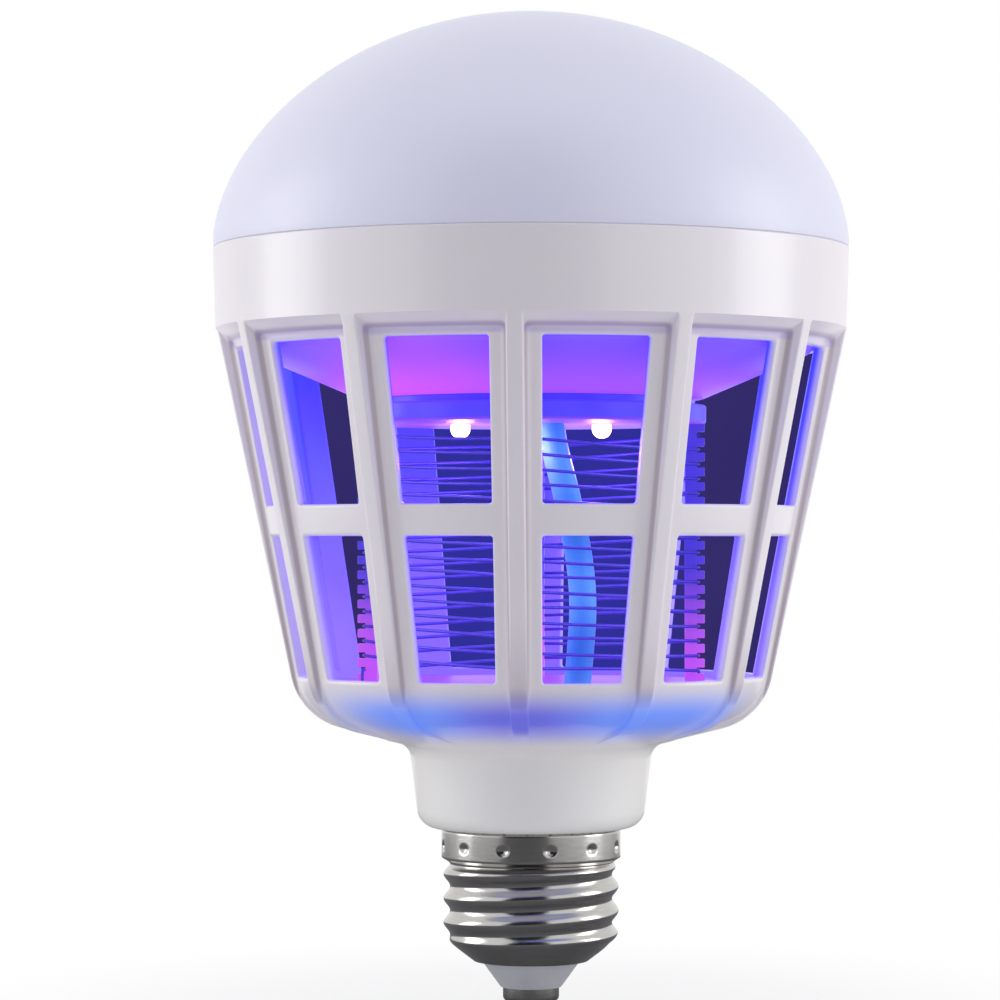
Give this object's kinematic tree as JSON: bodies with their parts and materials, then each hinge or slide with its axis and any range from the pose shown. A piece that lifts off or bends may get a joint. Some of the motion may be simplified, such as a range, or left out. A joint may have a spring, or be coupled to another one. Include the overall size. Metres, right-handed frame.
{
  "type": "insect killer light bulb",
  "caption": "Screw-cap LED light bulb whose ribbed cage lets insects in to an ultraviolet-lit electric grid under a milky dome.",
  "frame": {"origin": "on the axis, at the tip of the centre contact, the lowest point of the cap", "axes": "+Z along the axis from the cap to the dome; a rib of the cage points along -Y, the side the picture shows"},
  "size_m": [0.095, 0.095, 0.1485],
  "materials": {
    "dome": "milky moulded polycarbonate, satin",
    "housing": "white moulded ABS, satin",
    "tray": "white moulded plastic",
    "grid_frame": "white moulded plastic",
    "lamp_board": "white-coated aluminium circuit board",
    "lamp_led": "yellow phosphor under silicone",
    "uv_led": "clear violet-tinted epoxy",
    "uv_board": "white circuit board",
    "grid_wire": "bright drawn stainless wire",
    "sleeve": "light blue silicone sleeve",
    "lead": "insulated lead",
    "driver_board": "green circuit board",
    "driver_part": "black moulded component",
    "capacitor": "aluminium can",
    "resistor": "green coated resistor",
    "ferrite": "dark ferrite",
    "winding": "enamelled copper wire",
    "cap_metal": "nickel-plated sheet",
    "cap_insulator": "light grey moulded insulator",
    "solder": "tin solder",
    "screw": "zinc-plated steel"
  },
  "bodies": {
    "root": {"board_screws": "screw", "bridge_rectifier": "driver_part", "cage_housing": "housing", "cap_insulator": "cap_insulator", "centre_contact": "cap_metal", "choke_core": "ferrite", "choke_winding": "winding", "comb_post_1": "grid_frame", "comb_post_2": "grid_frame", "comb_post_3": "grid_frame", "comb_post_4": "grid_frame", "contact_lead": "lead", "contact_solder": "solder", "diffuser_dome": "dome", "driver_board": "driver_board", "driver_chip": "driver_part", "fusible_resistor": "resistor", "grid_base": "grid_frame", "grid_head": "grid_frame", "grid_wire_live": "grid_wire", "grid_wire_return": "grid_wire", "head_screws": "screw", "hv_lead_live": "lead", "hv_lead_return": "lead", "lamp_board": "lamp_board", "lamp_lead_negative": "lead", "lamp_lead_positive": "lead", "lamp_led_01": "lamp_led", "lamp_led_02": "lamp_led", "lamp_led_03": "lamp_led", "lamp_led_04": "lamp_led", "lamp_led_05": "lamp_led", "lamp_led_06": "lamp_led", "lamp_led_07": "lamp_led", "lamp_led_08": "lamp_led", "lamp_led_09": "lamp_led", "lamp_led_10": "lamp_led", "lamp_led_11": "lamp_led", "lamp_led_12": "lamp_led", "lamp_tray": "tray", "lead_sleeve": "sleeve", "multiplier_capacitor_1": "driver_part", "multiplier_capacitor_2": "driver_part", "multiplier_diodes": "driver_part", "screw_shell": "cap_metal", "shell_lead": "lead", "smoothing_capacitor": "capacitor", "uv_board": "uv_board", "uv_led_1": "uv_led", "uv_led_2": "uv_led", "uv_led_3": "uv_led", "uv_led_4": "uv_led"}
  },
  "joints": []
}
